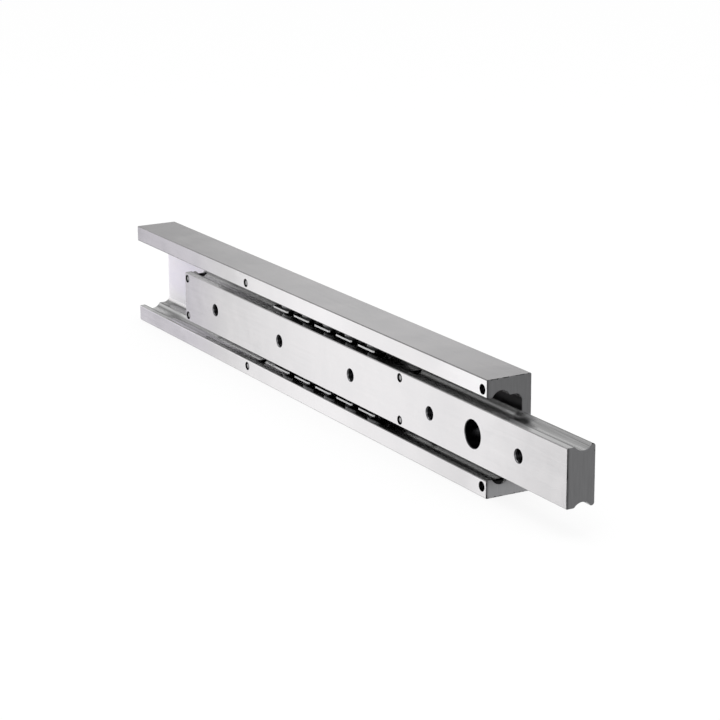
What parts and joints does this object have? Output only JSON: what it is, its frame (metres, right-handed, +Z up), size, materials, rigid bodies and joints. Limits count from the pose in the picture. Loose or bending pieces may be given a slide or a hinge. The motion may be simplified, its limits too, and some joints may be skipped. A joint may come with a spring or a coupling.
{
  "type": "telescopic drawer slide",
  "caption": "Linear ball slide with a C-section steel outer rail, a solid drilled slider that extends from its front end, and caged balls between the two.",
  "frame": {"origin": "middle of the outer rail's back face, the face that is screwed to the cabinet", "axes": "+X is the way the slider pulls out, +Y points out of the outer rail's back face into the cabinet, +Z is up across the rail's height"},
  "size_m": [0.5854, 0.0327, 0.075],
  "materials": {
    "rail_steel": "ground, bright",
    "cage_strip": "blackened strip with a bright cut edge",
    "ball_steel": "polished, hardened",
    "pin_steel": "blackened, ends ground bright"
  },
  "bodies": {
    "outer": {"outer_rail": "rail_steel", "outer_upper_mid_pin": "pin_steel", "outer_lower_mid_pin": "pin_steel", "outer_upper_front_pin": "pin_steel", "outer_lower_front_pin": "pin_steel"},
    "slider": {"slider_rail": "rail_steel", "slider_upper_rear_pin": "pin_steel", "slider_lower_rear_pin": "pin_steel", "slider_upper_mid_pin": "pin_steel", "slider_lower_mid_pin": "pin_steel"},
    "upper_cage": {"upper_cage": "cage_strip"},
    "lower_cage": {"lower_cage": "cage_strip"},
    "upper_ball_1": {"upper_ball_1": "ball_steel"},
    "upper_ball_2": {"upper_ball_2": "ball_steel"},
    "upper_ball_3": {"upper_ball_3": "ball_steel"},
    "upper_ball_4": {"upper_ball_4": "ball_steel"},
    "upper_ball_5": {"upper_ball_5": "ball_steel"},
    "lower_ball_1": {"lower_ball_1": "ball_steel"},
    "lower_ball_2": {"lower_ball_2": "ball_steel"},
    "lower_ball_3": {"lower_ball_3": "ball_steel"},
    "lower_ball_4": {"lower_ball_4": "ball_steel"},
    "lower_ball_5": {"lower_ball_5": "ball_steel"}
  },
  "joints": [
    {"name": "slider_slide", "type": "slide", "parent": "outer", "child": "slider", "axis": [1, 0, 0], "range_m": [-0.0854, 0.276]},
    {"name": "upper_cage_slide", "type": "slide", "parent": "outer", "child": "upper_cage", "axis": [1, 0, 0], "range_m": [-0.0427, 0.138]},
    {"name": "lower_cage_slide", "type": "slide", "parent": "outer", "child": "lower_cage", "axis": [1, 0, 0], "range_m": [-0.0427, 0.138]},
    {"name": "upper_ball_1_roll", "type": "hinge", "parent": "upper_cage", "child": "upper_ball_1", "pos_m": [-0.01735, -0.0215, 0.0226], "axis": [0, 1, 0], "range_deg": [-1172, 363]},
    {"name": "upper_ball_2_roll", "type": "hinge", "parent": "upper_cage", "child": "upper_ball_2", "pos_m": [0.01225, -0.0215, 0.0226], "axis": [0, 1, 0], "range_deg": [-1172, 363]},
    {"name": "upper_ball_3_roll", "type": "hinge", "parent": "upper_cage", "child": "upper_ball_3", "pos_m": [0.04185, -0.0215, 0.0226], "axis": [0, 1, 0], "range_deg": [-1172, 363]},
    {"name": "upper_ball_4_roll", "type": "hinge", "parent": "upper_cage", "child": "upper_ball_4", "pos_m": [0.07145, -0.0215, 0.0226], "axis": [0, 1, 0], "range_deg": [-1172, 363]},
    {"name": "upper_ball_5_roll", "type": "hinge", "parent": "upper_cage", "child": "upper_ball_5", "pos_m": [0.10105, -0.0215, 0.0226], "axis": [0, 1, 0], "range_deg": [-1172, 363]},
    {"name": "lower_ball_1_roll", "type": "hinge", "parent": "lower_cage", "child": "lower_ball_1", "pos_m": [-0.01735, -0.0215, -0.0226], "axis": [0, 1, 0], "range_deg": [-363, 1172]},
    {"name": "lower_ball_2_roll", "type": "hinge", "parent": "lower_cage", "child": "lower_ball_2", "pos_m": [0.01225, -0.0215, -0.0226], "axis": [0, 1, 0], "range_deg": [-363, 1172]},
    {"name": "lower_ball_3_roll", "type": "hinge", "parent": "lower_cage", "child": "lower_ball_3", "pos_m": [0.04185, -0.0215, -0.0226], "axis": [0, 1, 0], "range_deg": [-363, 1172]},
    {"name": "lower_ball_4_roll", "type": "hinge", "parent": "lower_cage", "child": "lower_ball_4", "pos_m": [0.07145, -0.0215, -0.0226], "axis": [0, 1, 0], "range_deg": [-363, 1172]},
    {"name": "lower_ball_5_roll", "type": "hinge", "parent": "lower_cage", "child": "lower_ball_5", "pos_m": [0.10105, -0.0215, -0.0226], "axis": [0, 1, 0], "range_deg": [-363, 1172]}
  ],
  "couplings": [
    {"joint": "upper_cage_slide", "follows": "slider_slide", "ratio": 0.5},
    {"joint": "lower_cage_slide", "follows": "slider_slide", "ratio": 0.5},
    {"joint": "upper_ball_1_roll", "follows": "slider_slide", "rad_per_m": -74.074},
    {"joint": "upper_ball_2_roll", "follows": "slider_slide", "rad_per_m": -74.074},
    {"joint": "upper_ball_3_roll", "follows": "slider_slide", "rad_per_m": -74.074},
    {"joint": "upper_ball_4_roll", "follows": "slider_slide", "rad_per_m": -74.074},
    {"joint": "upper_ball_5_roll", "follows": "slider_slide", "rad_per_m": -74.074},
    {"joint": "lower_ball_1_roll", "follows": "slider_slide", "rad_per_m": 74.074},
    {"joint": "lower_ball_2_roll", "follows": "slider_slide", "rad_per_m": 74.074},
    {"joint": "lower_ball_3_roll", "follows": "slider_slide", "rad_per_m": 74.074},
    {"joint": "lower_ball_4_roll", "follows": "slider_slide", "rad_per_m": 74.074},
    {"joint": "lower_ball_5_roll", "follows": "slider_slide", "rad_per_m": 74.074}
  ]
}
